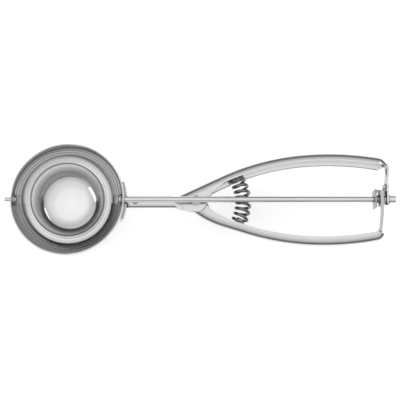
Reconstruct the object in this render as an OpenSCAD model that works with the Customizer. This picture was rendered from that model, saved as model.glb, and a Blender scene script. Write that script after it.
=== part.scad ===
// Lever ice cream scoop: a hemispherical bowl on a shank, two sprung handles, and a
// wiper blade that a rack and pinion sweep round the inside of the bowl.
// Lengths are in millimetres. The rod that turns the blade lies along X, the bowl opens
// towards +Z, and the origin lies under the middle of the scoop, level with the
// underside of its bowl.

/* [Bowl] */
// Outer radius of the bowl
bowl_radius = 30.5; // [26:0.5:34]
// Thickness of the bowl's sheet
bowl_wall = 0.8; // [0.6:0.1:1.2]
// Height of the bowl's rim above the rod's axis
rim_height = 2.6; // [2.3:0.1:3.2]

/* [Saddle and shank] */
// Thickness of the saddle plate behind the bowl
saddle_wall = 1.2; // [1:0.1:1.6]
// Width of the saddle plate across the bowl
saddle_width = 20.4; // [16:0.2:26]
// Height of the saddle plate along the bowl's side
saddle_height = 12; // [9:0.5:13]
// Outer radius of the shank
shank_radius = 3.3; // [3:0.1:3.6]
// Thickness of the shank's wall
shank_wall = 0.9; // [0.7:0.1:1.1]
// Depth of the shank's axis under the rod's axis
shank_depth = 7; // [6:0.1:8]
// Length of the saddle's tongue inside the shank
tongue_length = 9; // [7:0.5:12]
// Shaft radius of the rivet through shank and tongue
shank_rivet_radius = 1.0; // [0.8:0.1:1.2]

/* [Wiper] */
// Radius of the rod
rod_radius = 1.55; // [1.4:0.05:1.7]
// Radius of the blade's front pin
front_pin_radius = 1.2; // [1:0.05:1.4]
// Length of the front pin outside the bowl
front_pin_reach = 3.2; // [2.5:0.1:4]
// Gap between the blade's edge and the bowl
blade_gap = 0.35; // [0.3:0.05:0.5]
// Width of the blade
blade_width = 4.4; // [3:0.1:6]
// Thickness of the blade
blade_thickness = 0.7; // [0.5:0.1:0.9]
// Angle at which the blade waits below the level of the rod
blade_rest = 3; // [2:0.5:5]
// Radius of the ears that carry the blade
ear_radius = 3.2; // [2.9:0.1:3.6]
// Thickness of the blade's ears
ear_thickness = 0.8; // [0.6:0.1:1]

/* [Handles] */
// Distance from the back of the bowl to the handles' pivot
neck_length = 39.2; // [34:0.5:44]
// Thickness of the handles' sheet
sheet = 0.8; // [0.7:0.05:0.9]
// Width of the fixed handle
fixed_width = 13.2; // [13:0.1:13.6]
// Depth of the fixed handle's channel
fixed_depth = 5.2; // [5:0.1:5.5]
// Radius of the fixed handle's rounded crown
fixed_crown = 7.0; // [6.9:0.1:7.4]
// Depth of the lever's channel
lever_depth = 4.3; // [4.1:0.1:4.5]
// Radius of the lever's rounded crown
lever_crown = 5.9; // [5.8:0.1:6.2]
// Side gap between the lever's cheeks and the fixed handle's cheeks
cheek_gap = 0.2; // [0.15:0.05:0.3]
// Radius of the round boss on the fixed handle's front cheek
boss_radius = 5.9; // [5.5:0.1:6.2]
// Radius of the round boss on the fixed handle's back cheek
back_boss_radius = 4.2; // [4:0.1:4.4]
// Radius of the lever's lugs round the pivot
lug_radius = 3.2; // [3:0.1:3.3]

/* [Pivot] */
// Shaft radius of the pivot rivet
rivet_radius = 1.8; // [1.5:0.1:2]
// Radius of the pivot rivet's heads
rivet_head_radius = 2.8; // [2.5:0.1:3]
// Height of the pivot rivet's heads
rivet_head_height = 0.9; // [0.7:0.1:1]
// Gap between the rod and the pivot rivet's head
rod_gap = 0.35; // [0.3:0.05:0.6]
// Thickness of the washer under the pivot rivet's back head
pivot_washer_thickness = 0.6; // [0.4:0.1:0.8]

/* [Spring] */
// Distance from the pivot to the spring's curved centre line
spring_radius = 25; // [24.6:0.1:25.2]
// Outside diameter of the spring's coils
spring_diameter = 9.2; // [8.6:0.1:9.3]
// Diameter of the spring's wire
spring_wire = 1.7; // [1.5:0.1:1.8]
// Number of the spring's coils
spring_turns = 8; // [7:0.5:9]
// Radius of the pegs that hold the spring's ends
peg_radius = 1.9; // [1.6:0.1:2]

/* [Drive] */
// Distance from the pivot to the middle of the rack
rack_radius = 99; // [98.8:0.1:99.2]
// Thickness of the rack's strip
rack_thickness = 1.6; // [1.4:0.1:1.7]
// Module of the teeth
tooth_module = 0.8; // [0.75:0.01:0.85]
// Number of the pinion's teeth
pinion_teeth = 8; // [8:1:9]
// Width of the pinion's teeth
pinion_width = 2.8; // [2.6:0.1:3]
// Length of the pinion's hub
hub_length = 1.5; // [1.4:0.1:1.8]
// Radius of the pin through the pinion's hub
hub_pin_radius = 0.4; // [0.35:0.05:0.45]
// Angle that the blade sweeps
blade_sweep = 172; // [160:1:174]
// Thickness of the guide bracket
bracket_thickness = 0.8; // [0.7:0.1:1]
// Thickness of the bearing strap at the fixed handle's tail
strap_thickness = 1; // [0.9:0.1:1.2]
// Radius of the bearing strap's round end
strap_end_radius = 3.2; // [2.8:0.1:3.6]
// Radius of the end nut
nut_radius = 2.15; // [2.05:0.05:2.5]
// Length of the end nut
nut_length = 3.1; // [2.2:0.1:3.4]

/* [Fits] */
// Radial clearance of a shaft that turns in its hole
running_gap = 0.06; // [0.04:0.01:0.08]
// Gap between pieces that are fastened together
seam = 0.02; // [0.01:0.01:0.03]
// Axial gap beside a piece that turns
end_gap = 0.3; // [0.2:0.05:0.4]

/* [Hidden] */
$fn = 96;
far = 100;
cut = 2;
overlap = 0.1;
steel = "silver";
bright = "gainsboro";
dark = "dimgray";

bowl_inside = bowl_radius - bowl_wall;
saddle_outside = bowl_radius + seam + saddle_wall;
saddle_top = -rod_radius - rod_gap;
shank_rivet_x = bowl_radius + 5.5;
shank_rivet_end = 0.15;
shank_head_height = 0.5;
shank_head_base = shank_rivet_radius + 0.8;
shank_head_top = shank_rivet_radius + 0.2;

blade_outside = bowl_inside - blade_gap;
ear_face = sqrt(pow(bowl_inside, 2) - pow(ear_radius, 2)) - blade_gap;
ear_back = ear_face - ear_thickness;
peen = 0.7;
front_collar = front_pin_radius + 0.6;
rod_collar = rod_radius + 0.5;
washer_reach = 1;
sleeve_wall = 0.8;
blade_root = 2.2;

// The handles turn about the pivot, whose axis leans back by the angle "lean", so that
// the handles pass under the rod at the pivot and stand level with it at their tails.
pivot_x = bowl_radius + neck_length;
pivot_z = -(rod_radius + rod_gap + rivet_head_height + fixed_width / 2);
lean = asin(-pivot_z / rack_radius);

lever_width = fixed_width - 2 * sheet - 2 * cheek_gap;

// A handle's crown line is a run of bends and straights: [radius, angle, length] each,
// with a radius of 0 for a straight. It starts at [x, y, heading] from the pivot. Its last
// long bend ends short of the rack's radius by the tail's length, and a corner follows.
fixed_tail = 0.483;
lever_tail = 2.75;
fixed_bow = 15.45;
lever_bow = 14.6;
fixed_start = [-12.3, 3.04, 24.2];
fixed_bends = [[0, 0, 27.8], [129.5, 20, 0]];
fixed_run = to_tail(fixed_start, fixed_bends, fixed_bow, rack_radius - fixed_tail, fixed_depth + 0.6);
cheek_front = -9;
cheek_top = 4.7;
cheek_bottom = -4.3;
back_bottom = -1.5;
front_outline = [
    [8.8, 4.6], [boss_radius, 0], [0, 0], [-1.6, -6], [-4.6, -6], [cheek_front, cheek_bottom]
];
back_outline = [
    [7.6, 6.2], [back_boss_radius, 0], [0, 0], [-1, -4], [-4.4, -3.8], [cheek_front, back_bottom]
];
lever_start = [-1.38, 5.9, 37.15];
lever_bends = [[50.9, 19.05, 0], [0, 0, 13.9], [135.3, 13.6, 0]];
lever_run = to_tail(lever_start, lever_bends, lever_bow, rack_radius - lever_tail, lever_depth + 0.5);

lug_outline = [
    [0, 0], [1.9, 3.6], [2.9, 4.0], [5.4, 5.45], [8, 6.9], [10.8, 8.2], [13.6, 9.32], [17, 10.5],
    [20, 11.46], [14.4, 8.8], [9.6, 6.2], [7.2, 4.2], [6.2, 1.6], [lug_radius, -0.5]
];
cheek_reach = 25;
crown_reach = 14;

flare_lead = 13.7;
flare_start = pivot_x - flare_lead;
flare_lap = 0.4;
skin = 0.1;
root_taper = 0.9;
strap_lap = 0.3;
strap_foot = 0.2;
crown_half = 3;
band_length = 0.3;
band_height = 0.02;

// Teeth: the pinion turns with the rod, and the rack above it hangs on the lever.
tooth_pitch = PI * tooth_module;
pinion_radius = tooth_module * pinion_teeth / 2;
addendum = 0.75 * tooth_module;
dedendum = 1.0 * tooth_module;
tooth_flank = 22;
tooth_play = 0.2;
tooth_half = (tooth_pitch / 2 - tooth_play) / 2;
tooth_tip_half = tooth_half - addendum * tan(tooth_flank);
tooth_root_half = tooth_half + dedendum * tan(tooth_flank);
rack_level = pinion_radius / cos(lean);
rack_top = lever_width / 2;
rack_low = -3.5;
strip_gap = 0.6;
strip_margin = 0.8;
teeth_below = 5;
tooth_sink = 0.2;
tooth_thickness = rack_thickness - 0.1;
sunk_half = 1.4;
foot_angle = 3.6;
foot_overrun = 0.25;
foot_thickness = 1.1;
foot_seam = 0.12;
foot_sink = 1;
foot_ahead = 0.6;
foot_depth = 2.4;
lever_corner = start_of(lever_start, lever_run, 4);
foot_end = atan2(lever_corner[1] - sheet - foot_sink, lever_corner[0] + foot_ahead);
sunk_drop = 2.65;
sunk_angle = foot_end - asin(sunk_drop / rack_radius);
rack_rivet_radius = 0.8;
rack_rivet_angles = [2.6, 1.2];
rack_rivet_end = 0.4;
rack_rivet_hole = 3;
rack_rivet_proud = 0.05;
rack_angle = asin(tooth_pitch / rack_radius);
rack_ratio = rack_radius / pinion_radius;
lever_travel = blade_sweep / rack_ratio;

// Places along the rod at the tail
rack_x = pivot_x + rack_radius * cos(lean) - pinion_radius * tan(lean);
pinion_front = rack_x - rack_thickness / 2 - overlap;
pinion_back = pinion_front + pinion_width;
hub_front = pinion_front - hub_length;
hub_radius = 2.2;
bracket_front = hub_front - end_gap - bracket_thickness;
strap_front = pinion_back + end_gap + bracket_thickness;
strap_back = strap_front + strap_thickness;
strap_bend = 8.5;
washer_thickness = 0.5;
washer_radius = nut_radius + 0.5;
washer_back = strap_back + end_gap / 2 + washer_thickness;
nut_front = washer_back + end_gap / 2;
nut_back = nut_front + nut_length;
nut_wall = 0.6;
pinion_tip = pinion_radius + addendum;
bridge_bottom = pinion_tip + end_gap;
bridge_top = bridge_bottom + bracket_thickness;
bracket_half = 3.6;
window_bottom = pinion_radius - addendum - 0.7;
bracket_bottom = -4.8;
tab_top = bridge_top + 3.3;
bracket_rivet_y = bridge_top + 1.7;
bracket_rivet_z = 1.6;
bracket_rivet_radius = 0.6;
bracket_rivet_head = 1.1;
bracket_head_height = 0.35;
tab_front = strap_front - bracket_thickness;

// The spring's ends, as angles about the pivot
spring_top = 34;
spring_bottom = -28;
coil_radius = (spring_diameter - spring_wire) / 2;
peg_overlap = 3;
peg_length = 12;

front_tip = -(bowl_radius + front_pin_reach);
middle_x = (front_tip + nut_back) / 2;

// Puts a piece, built round the rod's axis and the bowl's centre, in the part's frame.
module placed() translate([-middle_x, 0, bowl_radius]) children();

// Puts a piece, built round the handles' pivot, in its place.
module at_pivot() translate([pivot_x, 0, pivot_z]) rotate([0, -lean, 0]) children();

// A cylinder along X from one place to another.
module bar(from, to, radius) translate([from, 0, 0]) rotate([0, 90, 0]) cylinder(h = to - from, r = radius);

function end_of(start, bend) = let (r = bend[0], h = start[2], a = bend[1])
    r == 0
        ? [start[0] + bend[2] * cos(h), start[1] + bend[2] * sin(h), h]
        : [start[0] + r * (sin(h) - sin(h - a)), start[1] + r * (cos(h - a) - cos(h)), h - a];

function start_of(start, run, i) = i == 0 ? start : end_of(start_of(start, run, i - 1), run[i - 1]);

function to_tail(start, bends, bow, reach, corner) =
    let (from = start_of(start, bends, len(bends)), h = from[2])
    concat(bends, [[(reach - from[0]) / (sin(h) - sin(h - bow)), bow, 0], [corner, 60, 0]]);

function arc(centre, radius, from, to, steps) =
    [for (i = [0:steps]) let (a = from + (to - from) * i / steps)
        [centre[0] + radius * cos(a), centre[1] + radius * sin(a)]];

// A handle's section, filled: its round crown is at x = 0 and it opens towards -x.
module filled(width, depth, crown) intersection() {
    union() {
        translate([-crown, 0]) circle(crown);
        if (depth > crown) translate([-depth, -crown]) square([depth - crown, 2 * crown]);
    }
    translate([-depth, -width / 2]) square([depth + cut, width]);
}

module channel(width, depth, crown, proud = 0) difference() {
    translate([proud, 0]) filled(width + 2 * proud, depth + 2 * proud, crown + proud);
    translate([-sheet - proud, 0])
        filled(width - 2 * sheet - 2 * proud, depth, crown - sheet - proud);
}

// A handle's bends and straights, from one place of its run to its end. A fine band, a
// hair thicker than the sheet, covers each joint between them.
module channel_run(start, run, first, width, depth, crown) {
    for (i = [first:len(run) - 1])
        stretch(start_of(start, run, i), run[i]) channel(width, depth, crown);
    for (i = [1:len(run) - 1]) {
        joint = start_of(start, run, i);
        translate([joint[0], joint[1], 0]) rotate([0, 0, joint[2]]) rotate([90, 0, 90])
            linear_extrude(band_length, center = true) channel(width, depth, crown, band_height);
    }
}

// Sweeps a section along one bend or straight of a handle.
module stretch(start, bend) {
    r = bend[0];
    if (r == 0)
        translate([start[0], start[1], 0]) rotate([0, 0, start[2]]) rotate([90, 0, 90])
            linear_extrude(bend[2]) children();
    else
        translate([start[0] + r * sin(start[2]), start[1] - r * cos(start[2]), 0])
            rotate([0, 0, start[2] + 90 - bend[1]])
                rotate_extrude(angle = bend[1]) translate([r, 0]) children();
}

// A peg along the spring's end, run into the handle's crown.
module peg(angle, side) rotate([0, 0, angle]) translate([spring_radius, 0, 0])
    rotate([-90 * side, 0, 0]) translate([0, 0, -peg_overlap]) cylinder(h = peg_length, r = peg_radius);

module bowl() placed() color(steel) difference() {
    intersection() {
        sphere(bowl_radius);
        translate([-far, -far, -2 * far + rim_height]) cube(2 * far);
    }
    sphere(bowl_inside);
    bar(0, far, rod_radius + running_gap);
    bar(-far, 0, front_pin_radius + running_gap);
}

module saddle_plate() placed() color(steel) difference() {
    union() {
        intersection() {
            sphere(saddle_outside);
            translate([0, -saddle_width / 2, saddle_top - saddle_height])
                cube([far, saddle_width, saddle_height]);
        }
        translate([0, 0, -shank_depth])
            bar(bowl_radius - cut, bowl_radius + tongue_length, shank_radius - shank_wall - seam);
    }
    sphere(bowl_radius + seam);
    shank_rivet_hole();
}

module shank_rivet_hole() translate([shank_rivet_x, 0, -shank_depth - 2 * shank_radius])
    cylinder(h = 4 * shank_radius, r = shank_rivet_radius + seam);

module shank_rivet() placed() color(bright) translate([shank_rivet_x, 0, -shank_depth]) {
    cylinder(h = 2 * (shank_radius + shank_rivet_end), r = shank_rivet_radius, center = true);
    for (side = [0, 1]) mirror([0, 0, side]) translate([0, 0, shank_radius + seam])
        cylinder(h = shank_head_height, r1 = shank_head_base, r2 = shank_head_top);
}

// A cheek of the fixed handle, seen from the side: the back one is shallower.
module fixed_side(front) {
    tip = end_of(fixed_start, fixed_run[0]);
    across = [sin(fixed_start[2]), -cos(fixed_start[2])];
    boss = front ? boss_radius : back_boss_radius;
    polygon(concat(
        [
            [cheek_front, cheek_top + cut], [tip[0], tip[1] + cut], [tip[0], tip[1]],
            [tip[0] + fixed_depth * across[0], tip[1] + fixed_depth * across[1]]
        ],
        front ? front_outline : back_outline
    ));
    circle(boss);
}

// The shank's end widens into the fixed handle's cheeks.
module flare(inset) hull() {
    translate([flare_start - inset, 0, -shank_depth]) rotate([0, 90, 0])
        cylinder(h = skin, r = shank_radius - inset, $fn = 32);
    at_pivot() translate([cheek_front + flare_lap + inset, 0, 0]) rotate([90, 0, 90])
        linear_extrude(2 * skin) flare_end(inset);
}

// The section at the flare's wide end: the rounded crown over two cheeks of unlike depth
module flare_end(inset) {
    half = fixed_width / 2 - inset;
    steps = 8;
    widest = asin(fixed_width / 2 / fixed_crown);
    polygon(concat(
        [for (i = [-steps:steps]) let (a = widest * i / steps) [
            cheek_top - inset - fixed_crown * (1 - cos(a)) / cos(fixed_start[2]),
            half * sin(a) / sin(widest)
        ]],
        [[cheek_bottom + inset, half], [back_bottom + inset, -half]]
    ));
}

// The strap that carries the rod's tail, bent down from the fixed handle's crown
module strap() {
    tail = start_of(fixed_start, fixed_run, 4);
    hull() {
        at_pivot() translate([tail[0], tail[1], 0]) rotate([0, 0, tail[2]])
            translate([-strap_lap, -sheet, -crown_half])
                cube([strap_lap + strap_foot, sheet, 2 * crown_half]);
        translate([strap_front, strap_bend, -strap_end_radius])
            cube([strap_thickness, strap_foot, 2 * strap_end_radius]);
    }
    bar(strap_front, strap_back, strap_end_radius);
    translate([strap_front, 0, -strap_end_radius])
        cube([strap_thickness, strap_bend + strap_foot, 2 * strap_end_radius]);
}

module fixed_handle() placed() color(steel) difference() {
    union() {
        at_pivot() {
            intersection() {
                stretch(fixed_start, fixed_run[0]) channel(fixed_width, cheek_reach, fixed_crown);
                union() {
                    linear_extrude(fixed_width) fixed_side(true);
                    translate([0, 0, -fixed_width]) linear_extrude(fixed_width + 1) fixed_side(false);
                }
            }
            channel_run(fixed_start, fixed_run, 1, fixed_width, fixed_depth, fixed_crown);
            intersection() {
                peg(spring_top, 1);
                stretch(start_of(fixed_start, fixed_run, 1), fixed_run[1])
                    translate([-sheet / 2, 0])
                        filled(fixed_width - sheet, crown_reach, fixed_crown - sheet / 2);
            }
        }
        difference() {
            flare(0);
            flare(shank_wall);
        }
        translate([0, 0, -shank_depth]) difference() {
            bar(0, flare_start, shank_radius);
            bar(0, flare_start + skin / 2, shank_radius - shank_wall);
        }
        strap();
    }
    sphere(saddle_outside + seam);
    shank_rivet_hole();
    at_pivot() cylinder(h = 2 * fixed_width, r = rivet_radius + seam, center = true);
    bar(strap_front - cut, strap_back + cut, rod_radius + running_gap);
    bracket_rivet_holes();
}

module pivot_rivet() placed() at_pivot() color(bright) {
    back = fixed_width / 2 + pivot_washer_thickness + 2 * seam;
    translate([0, 0, -back]) cylinder(h = back + fixed_width / 2 + 2 * seam, r = rivet_radius);
    translate([0, 0, fixed_width / 2 + seam]) rivet_head();
    translate([0, 0, -back]) mirror([0, 0, 1]) rivet_head();
}

// A domed head: a slice of the sphere that its radius and height give.
module rivet_head() {
    dome = (pow(rivet_head_radius, 2) + pow(rivet_head_height, 2)) / (2 * rivet_head_height);
    intersection() {
        translate([0, 0, rivet_head_height - dome]) sphere(dome);
        cylinder(h = rivet_head_height + 1, r = rivet_head_radius);
    }
}

module pivot_washer() placed() at_pivot() color(steel)
    translate([0, 0, -fixed_width / 2 - seam - pivot_washer_thickness]) difference() {
        cylinder(h = pivot_washer_thickness, r = rivet_head_radius + washer_reach);
        translate([0, 0, -1]) cylinder(h = 3, r = rivet_radius + running_gap);
    }

module pivot_sleeve() placed() at_pivot() color(steel) difference() {
    cylinder(h = lever_width - 2 * sheet - end_gap, r = rivet_radius + sleeve_wall, center = true);
    cylinder(h = lever_width, r = rivet_radius + running_gap, center = true);
}

// The lever is drawn above the pivot and mirrored below it.
module lever_side() difference() {
    union() {
        circle(lug_radius);
        polygon(lug_outline);
    }
    circle(rivet_radius + running_gap);
}

module lever_handle() placed() at_pivot() mirror([0, 1, 0]) color(steel) difference() {
    union() {
        channel_run(lever_start, lever_run, 0, lever_width, lever_depth, lever_crown);
        for (side = [0, 1]) mirror([0, 0, side])
            translate([0, 0, lever_width / 2 - sheet]) linear_extrude(sheet) lever_side();
        intersection() {
            peg(-spring_bottom, 1);
            stretch(start_of(lever_start, lever_run, 1), lever_run[1])
                translate([-sheet / 2, 0])
                    filled(lever_width - sheet, crown_reach, lever_crown - sheet / 2);
        }
    }
    rack_rivet_places() cylinder(h = 2 * rack_rivet_hole, r = rack_rivet_radius + seam, center = true);
}

// The stations of the rack's rivets, on the crown of the lever's last long bend
module rack_rivet_places() {
    start = start_of(lever_start, lever_run, 3);
    r = lever_run[3][0];
    for (before = rack_rivet_angles)
        translate([start[0] + r * sin(start[2]), start[1] - r * cos(start[2]), 0])
            rotate([0, 0, start[2] + 90 - lever_run[3][1] + before])
                translate([r, 0, 0]) rotate([0, 90, 0]) children();
}

module rack_tooth() rotate([90, 0, 90]) linear_extrude(tooth_thickness, center = true) polygon([
    [-tooth_root_half, rack_level + dedendum + tooth_sink], [-tooth_root_half, rack_level + dedendum],
    [-tooth_tip_half, rack_level - addendum], [tooth_tip_half, rack_level - addendum],
    [tooth_root_half, rack_level + dedendum], [tooth_root_half, rack_level + dedendum + tooth_sink]
]);

// The rack's strip lies on an arc about the pivot. Its lower half ends below the teeth,
// and its foot is narrower, to lie between the lever's cheeks.
module rack_strip(from, step, to) difference() {
    rotate([0, 0, from]) rotate_extrude(angle = to - from)
        translate([rack_radius - rack_thickness / 2, rack_low])
            square([rack_thickness, rack_top - rack_low]);
    translate([0, 0, -far]) linear_extrude(far + rack_level + dedendum) polygon([
        [0, 0], [2 * far * cos(step), 2 * far * sin(step)], [2 * far, 0], [2 * far, far]
    ]);
    for (side = [0, 1]) mirror([0, 0, side])
        translate([0, 0, sunk_half]) linear_extrude(far) polygon([
            [0, 0], [2 * far * cos(sunk_angle), -2 * far * sin(sunk_angle)], [2 * far, -far]
        ]);
}

module rack() placed() at_pivot() color(bright) {
    clear = asin((strip_gap - bracket_bottom) / rack_radius) + lever_travel;
    difference() {
        union() {
            rack_strip(-foot_end, -clear - strip_margin, 1.5 * rack_angle);
            for (i = [-teeth_below:1]) rotate([0, 0, i * rack_angle])
                translate([rack_radius, 0, 0]) rack_tooth();
            mirror([0, 1, 0]) rack_foot();
        }
        mirror([0, 1, 0]) rack_rivet_places()
            cylinder(h = 2 * rack_rivet_hole, r = rack_rivet_radius + seam, center = true);
    }
}

// The foot lies inside the lever's crown and follows its section.
module rack_foot() {
    start = start_of(lever_start, lever_run, 3);
    r = lever_run[3][0];
    inset = sheet + foot_seam;
    translate([start[0] + r * sin(start[2]), start[1] - r * cos(start[2]), 0])
        rotate([0, 0, start[2] + 90 - lever_run[3][1] - foot_overrun])
            rotate_extrude(angle = foot_angle) translate([r - inset, 0]) intersection() {
                difference() {
                    filled(lever_width - 2 * inset, 2 * foot_depth, lever_crown - inset);
                    translate([-foot_thickness, 0])
                        filled(lever_width - 2 * inset - 2, 2 * foot_depth,
                            lever_crown - inset - foot_thickness);
                }
                translate([-foot_depth, rack_low]) square([2 * foot_depth, -2 * rack_low]);
            }
}

module rack_rivets() placed() at_pivot() mirror([0, 1, 0]) color(bright) rack_rivet_places() {
    depth = sheet + foot_thickness + rack_rivet_end;
    translate([0, 0, -depth]) cylinder(h = depth + rack_rivet_proud, r = rack_rivet_radius);
}

module guide_bracket() placed() color(steel) difference() {
    translate([0, 0, -bracket_half]) linear_extrude(2 * bracket_half) polygon([
        [bracket_front, bracket_bottom], [bracket_front + bracket_thickness, bracket_bottom],
        [bracket_front + bracket_thickness, bridge_bottom],
        [strap_front - seam, bridge_bottom], [strap_front - seam, tab_top],
        [tab_front, tab_top], [tab_front, bridge_top], [bracket_front, bridge_top]
    ]);
    bar(bracket_front - cut, hub_front, rod_radius + running_gap);
    translate([hub_front - end_gap + overlap, 0, window_bottom]) cube([far, far, far]);
    bracket_rivet_holes();
}

module bracket_rivet_holes() for (side = [-1, 1])
    translate([0, bracket_rivet_y, side * bracket_rivet_z])
        bar(strap_front - cut, strap_back + cut, bracket_rivet_radius + seam);

module bracket_rivets() placed() color(bright) for (side = [-1, 1])
    translate([0, bracket_rivet_y, side * bracket_rivet_z]) {
        bar(tab_front - overlap, strap_back + overlap, bracket_rivet_radius);
        bar(tab_front - bracket_head_height, tab_front - seam, bracket_rivet_head);
        bar(strap_back + seam, strap_back + bracket_head_height, bracket_rivet_head);
    }

module wiper_blade() placed() rotate([-blade_rest, 0, 0]) color(bright) {
    translate([0, 0, -blade_thickness / 2]) linear_extrude(blade_thickness) difference() {
        circle(blade_outside);
        circle(blade_outside - blade_width);
        translate([-far, blade_root - 2 * far]) square(2 * far);
    }
    difference() {
        union() {
            bar(ear_back, ear_face, ear_radius);
            bar(-ear_face, -ear_back, ear_radius);
        }
        bar(0, far, rod_radius + seam);
        bar(-far, 0, front_pin_radius + seam);
    }
}

module front_pin() placed() color(bright) {
    bar(front_tip, -ear_back + peen, front_pin_radius);
    bar(-ear_back + seam, -ear_back + peen, front_collar);
}

module rod() placed() color(bright) difference() {
    union() {
        bar(ear_back - peen, nut_back - nut_wall - seam, rod_radius);
        bar(ear_back - peen, ear_back - seam, rod_collar);
    }
    pinion_pin_hole();
}

module pinion_pin_hole() translate([hub_front + hub_length / 2, 0, 0])
    cylinder(h = 4 * hub_radius, r = hub_pin_radius + seam, center = true);

module pinion() placed() color(steel) difference() {
    union() {
        bar(hub_front, pinion_front + overlap, hub_radius);
        translate([pinion_front, 0, 0]) rotate([90, 0, 90]) linear_extrude(pinion_width)
            polygon([for (i = [0:pinion_teeth - 1])
                each pinion_tooth(90 + (i + 0.5) * 360 / pinion_teeth)]);
    }
    bar(0, 2 * far, rod_radius + seam);
    pinion_pin_hole();
}

// One tooth's outline about its own middle angle
function pinion_tooth(middle) = [for (corner = [
    [-1, pinion_radius - dedendum, root_taper * tooth_half], [-1, pinion_radius, tooth_half],
    [-1, pinion_tip, tooth_tip_half], [1, pinion_tip, tooth_tip_half],
    [1, pinion_radius, tooth_half], [1, pinion_radius - dedendum, root_taper * tooth_half]
]) let (r = corner[1], a = middle + corner[0] * corner[2] / r * 180 / PI) [r * cos(a), r * sin(a)]];

module pinion_pin() placed() color(dark) translate([hub_front + hub_length / 2, 0, 0])
    cylinder(h = 2 * hub_radius, r = hub_pin_radius, center = true);

module end_washer() placed() color(steel) difference() {
    bar(washer_back - washer_thickness, washer_back, washer_radius);
    bar(0, 2 * far, rod_radius + seam);
}

module end_nut() placed() color(bright) difference() {
    bar(nut_front, nut_back, nut_radius);
    bar(0, nut_back - nut_wall, rod_radius + seam);
}

// The spring is one tube on a coil whose own axis is an arc about the pivot.
wire_sides = 6;
rings_a_turn = 8;
coil_rings = spring_turns * rings_a_turn;

function coil_point(turn) = let (
    a = spring_bottom + (spring_top - spring_bottom) * turn / spring_turns,
    r = spring_radius + coil_radius * cos(360 * turn)
) [r * cos(a), r * sin(a), coil_radius * sin(360 * turn)];

function unit(v) = v / norm(v);

// Each ring: its middle, and the directions along the wire and out of the coil
function coil_ring(i) = let (
    turn = i / rings_a_turn,
    along = unit(coil_point(turn + 0.01) - coil_point(turn - 0.01)),
    a = spring_bottom + (spring_top - spring_bottom) * turn / spring_turns,
    out = [cos(360 * turn) * cos(a), cos(360 * turn) * sin(a), sin(360 * turn)],
    side = unit(cross(along, out))
) [coil_point(turn), along, side, cross(side, along)];

function moved(ring, by) = [ring[0] + by * ring[1], ring[1], ring[2], ring[3]];

module return_spring() placed() at_pivot() color(dark) {
    coil = [for (i = [0:coil_rings]) coil_ring(i)];
    rings = concat([moved(coil[0], -spring_wire)], coil, [moved(coil[coil_rings], spring_wire)]);
    last = len(rings) - 1;
    points = [for (ring = rings) for (k = [0:wire_sides - 1])
        ring[0] + spring_wire / 2 * (cos(k * 60) * ring[3] + sin(k * 60) * ring[2])];
    faces = concat(
        [for (k = [1:wire_sides - 2]) [0, k, k + 1]],
        [for (i = [0:last - 1]) for (k = [0:wire_sides - 1]) let (n = (k + 1) % wire_sides)
            each [
                [i * wire_sides + k, (i + 1) * wire_sides + k, (i + 1) * wire_sides + n],
                [i * wire_sides + k, (i + 1) * wire_sides + n, i * wire_sides + n]
            ]],
        [for (k = [1:wire_sides - 2]) [last * wire_sides, last * wire_sides + k + 1, last * wire_sides + k]]
    );
    polyhedron(points = points, faces = faces);
}

// The least gap between one turn of the spring and the next, measured on points
spring_gap = min([for (i = [0:coil_rings - rings_a_turn]) for (j = [-3:3])
    norm(coil_point(i / rings_a_turn) - coil_point((i + rings_a_turn + j / 2) / rings_a_turn))
]) - spring_wire;
echo(spring_gap = spring_gap, lever_travel = lever_travel, rack_ratio = rack_ratio);
echo(middle_x = middle_x, pivot_x = pivot_x, pivot_z = pivot_z, lean = lean, rack_x = rack_x);

bowl();
saddle_plate();
shank_rivet();
fixed_handle();
pivot_rivet();
pivot_washer();
pivot_sleeve();
guide_bracket();
bracket_rivets();
lever_handle();
rack();
rack_rivets();
wiper_blade();
front_pin();
rod();
pinion();
pinion_pin();
end_washer();
end_nut();
return_spring();
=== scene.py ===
import math

import bpy
from mathutils import Matrix, Vector


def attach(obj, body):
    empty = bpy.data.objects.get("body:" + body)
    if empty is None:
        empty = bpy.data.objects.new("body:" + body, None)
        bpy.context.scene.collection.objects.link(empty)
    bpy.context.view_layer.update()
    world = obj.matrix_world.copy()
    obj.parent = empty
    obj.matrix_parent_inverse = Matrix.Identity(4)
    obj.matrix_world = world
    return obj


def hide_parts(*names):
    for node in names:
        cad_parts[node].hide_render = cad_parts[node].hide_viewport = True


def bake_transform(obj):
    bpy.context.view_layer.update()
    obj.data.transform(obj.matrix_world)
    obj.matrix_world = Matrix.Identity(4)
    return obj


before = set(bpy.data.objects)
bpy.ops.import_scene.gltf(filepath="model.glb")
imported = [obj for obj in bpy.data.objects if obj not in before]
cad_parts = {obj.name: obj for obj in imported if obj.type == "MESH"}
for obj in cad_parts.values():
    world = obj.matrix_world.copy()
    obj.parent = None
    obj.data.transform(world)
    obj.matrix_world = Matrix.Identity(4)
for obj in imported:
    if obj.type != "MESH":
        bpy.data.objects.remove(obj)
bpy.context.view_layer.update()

# The part's driving sizes, named as in its source: millimetres and degrees. The scene is in metres.
MM = 0.001
BOWL_RADIUS, BOWL_WALL, RIM_HEIGHT = 30.5, 0.8, 2.6
SADDLE_WALL, SHANK_RADIUS, SHANK_DEPTH = 1.2, 3.3, 7.0
ROD_RADIUS, ROD_GAP, FRONT_PIN_REACH = 1.55, 0.35, 3.2
NECK_LENGTH, SHEET, RIVET_HEAD_HEIGHT = 39.2, 0.8, 0.9
FIXED_WIDTH, FIXED_DEPTH, FIXED_CROWN = 13.2, 5.2, 7.0
LEVER_DEPTH, LEVER_CROWN, CHEEK_GAP = 4.3, 5.9, 0.2
BOSS_RADIUS, BACK_BOSS_RADIUS, LUG_RADIUS = 5.9, 4.2, 3.2
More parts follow.
